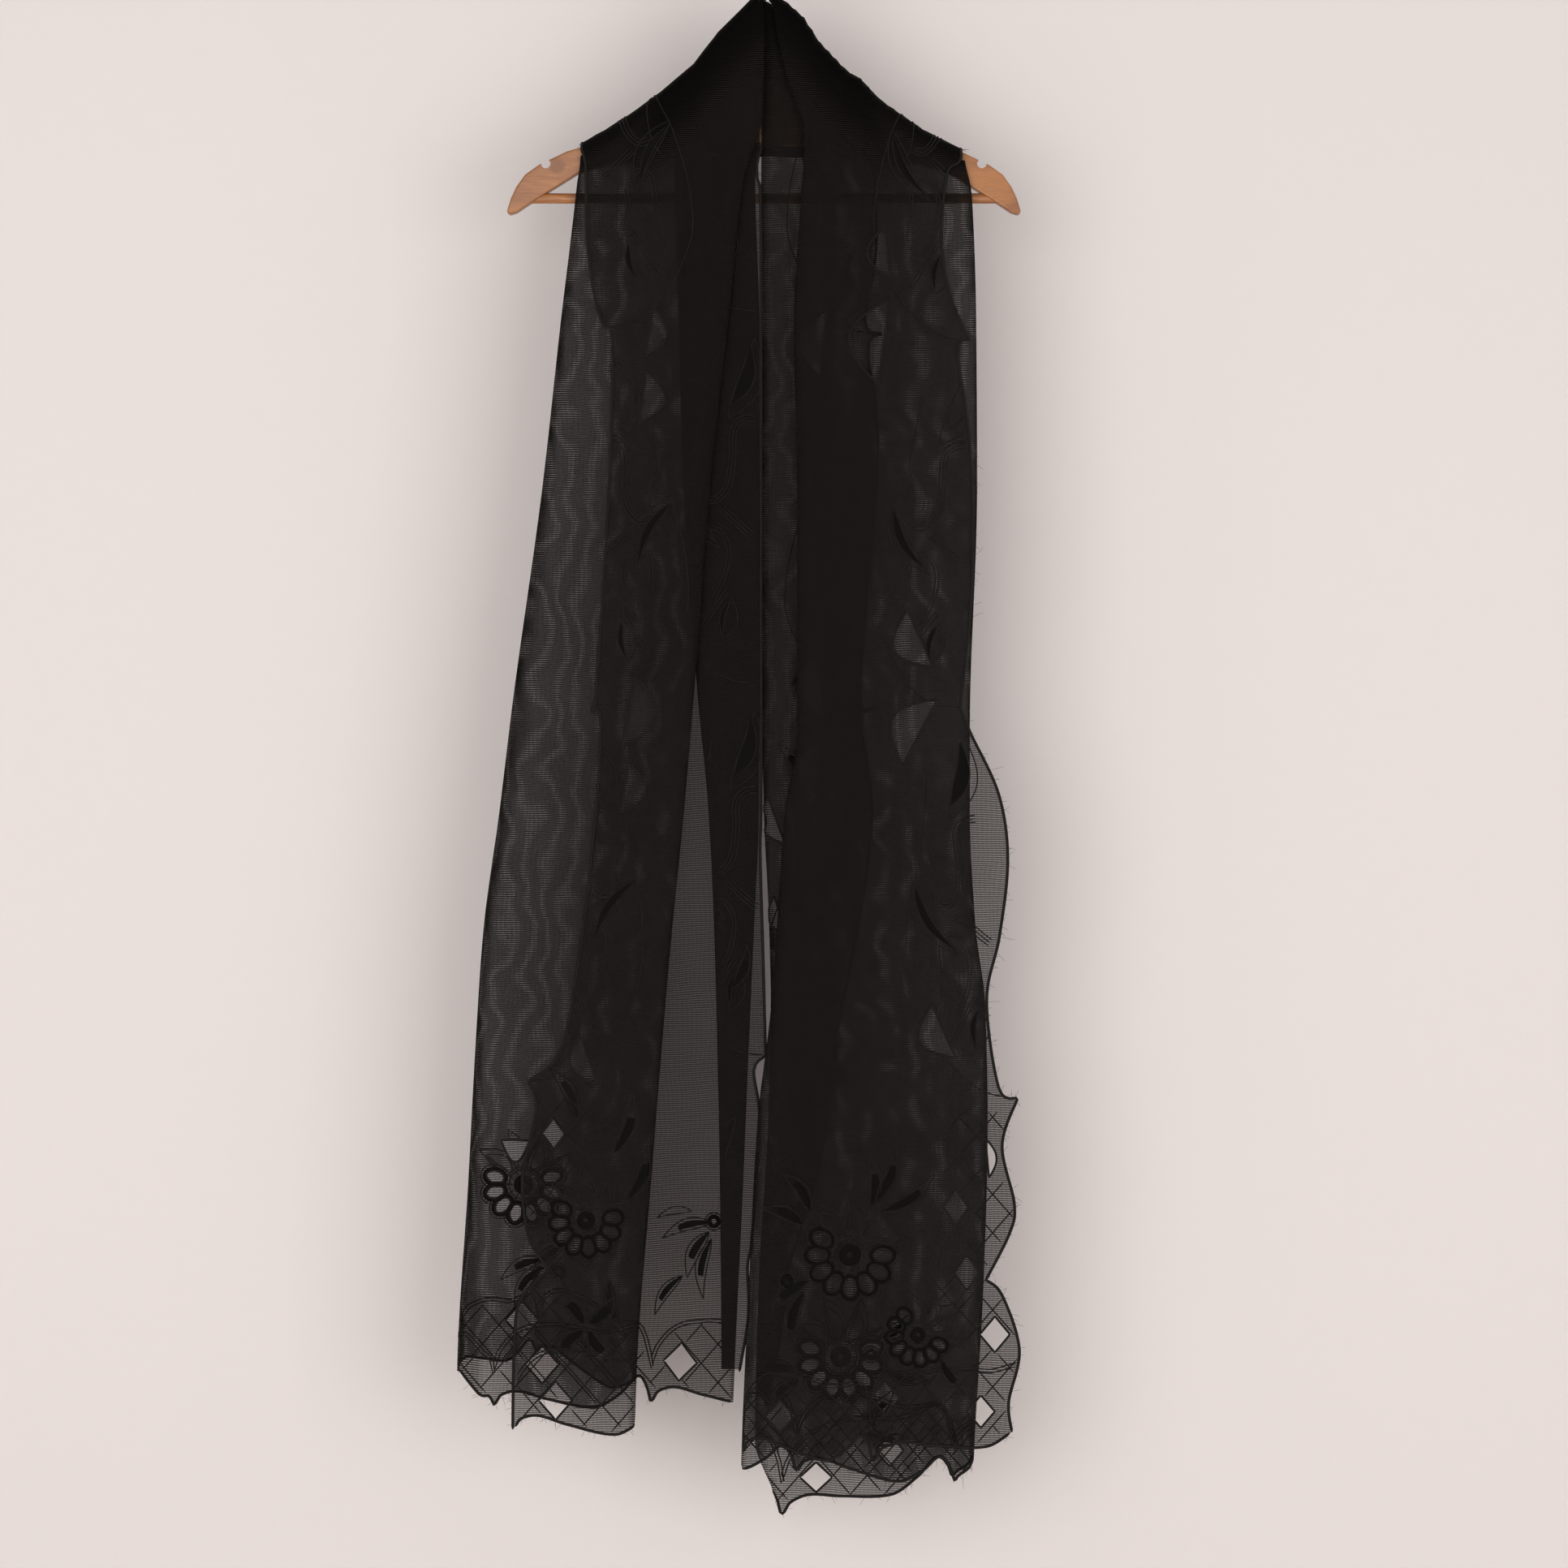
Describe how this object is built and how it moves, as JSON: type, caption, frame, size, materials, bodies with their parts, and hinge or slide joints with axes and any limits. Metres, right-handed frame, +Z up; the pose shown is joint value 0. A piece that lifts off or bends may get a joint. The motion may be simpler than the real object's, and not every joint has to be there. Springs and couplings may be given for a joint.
{
  "type": "dupatta on a coat hanger",
  "caption": "Long sheer dupatta with scalloped cutwork hems, folded lengthwise over a wooden coat hanger with a wire hook and trouser bar.",
  "frame": {"origin": "inside top of the hook, where a rail or peg holds it", "axes": "+Z up, -Y the front of the cloth, +X to the viewer's right"},
  "size_m": [0.4855, 0.0473, 1.3574],
  "materials": {
    "organza": "sheer ribbed weave with satin stitch",
    "wood": "light varnish",
    "steel": "plated wire"
  },
  "bodies": {
    "root": {"left_front_fall": "organza", "left_middle_fall": "organza", "left_back_fall": "organza", "left_inner_pleat": "organza", "right_front_fall": "organza", "right_middle_fall": "organza", "right_back_fall": "organza", "right_inner_fall": "organza", "neck_band": "organza", "hanger_body": "wood", "hanger_bar": "wood", "hanger_hook": "steel"}
  },
  "joints": []
}
